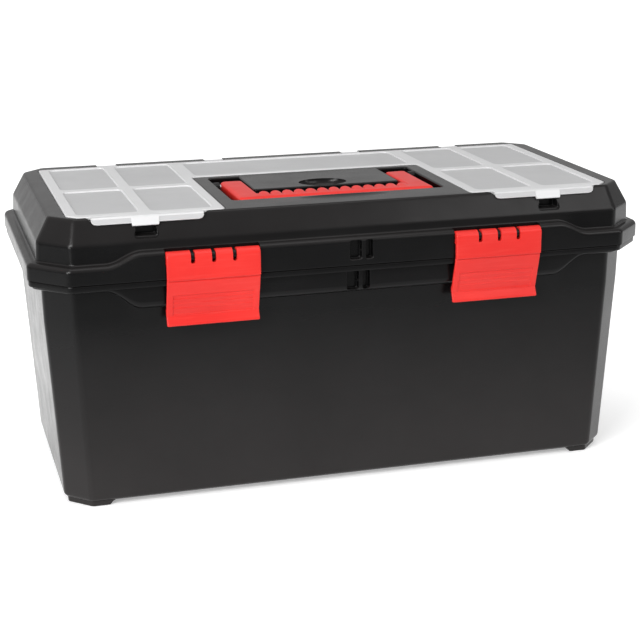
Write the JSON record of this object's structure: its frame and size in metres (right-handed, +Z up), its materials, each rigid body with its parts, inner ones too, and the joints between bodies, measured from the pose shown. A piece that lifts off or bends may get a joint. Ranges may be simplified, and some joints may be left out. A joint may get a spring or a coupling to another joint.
{
  "type": "toolbox",
  "caption": "Long black plastic toolbox with a tapered tub, hinged lid, translucent small-parts cover, fold-flat red handle, red front latches and a sliding inner tray.",
  "frame": {"origin": "on the floor under the middle of the box, at the level of the feet", "axes": "+Z up, +X to the right along the length, front with the latches at -Y"},
  "size_m": [0.55, 0.2864, 0.2555],
  "materials": {
    "black_plastic": "satin moulded polypropylene with a fine grain",
    "red_plastic": "semi-gloss moulded polypropylene",
    "clear_plastic": "frosted translucent moulded plastic",
    "grey_plastic": "satin moulded polypropylene",
    "steel": "drawn steel wire"
  },
  "bodies": {
    "tub": {"tub": "black_plastic", "hinge_pin_left": "steel", "hinge_pin_right": "steel"},
    "lid": {"lid": "black_plastic", "latch_pin_left": "steel", "latch_pin_right": "steel", "handle_pin_left": "steel", "handle_pin_right": "steel"},
    "latch_left": {"latch_left": "red_plastic"},
    "latch_right": {"latch_right": "red_plastic"},
    "handle": {"handle": "red_plastic"},
    "organiser_cover": {"organiser_cover": "clear_plastic"},
    "tray": {"tray": "grey_plastic", "tray_divider_left": "red_plastic", "tray_divider_middle": "red_plastic", "tray_divider_right": "red_plastic"}
  },
  "joints": [
    {"name": "lid_hinge", "type": "hinge", "parent": "tub", "child": "lid", "pos_m": [0, 0.1377, 0.2033], "axis": [-1, 0, 0], "range_deg": [0, 105]},
    {"name": "latch_left_hinge", "type": "hinge", "parent": "lid", "child": "latch_left", "pos_m": [-0.126, -0.1376, 0.2214], "axis": [-1, 0, 0], "range_deg": [0, 110]},
    {"name": "latch_right_hinge", "type": "hinge", "parent": "lid", "child": "latch_right", "pos_m": [0.126, -0.1376, 0.2214], "axis": [-1, 0, 0], "range_deg": [0, 110]},
    {"name": "handle_hinge", "type": "hinge", "parent": "lid", "child": "handle", "pos_m": [0, -0.004, 0.2505], "axis": [-1, 0, 0], "range_deg": [0, 90]},
    {"name": "cover_hinge", "type": "hinge", "parent": "lid", "child": "organiser_cover", "pos_m": [0, 0.1135, 0.2523], "axis": [-1, 0, 0], "range_deg": [0, 105]},
    {"name": "tray_slide", "type": "slide", "parent": "tub", "child": "tray", "axis": [0, -1, 0], "range_m": [0, 0.08]}
  ]
}
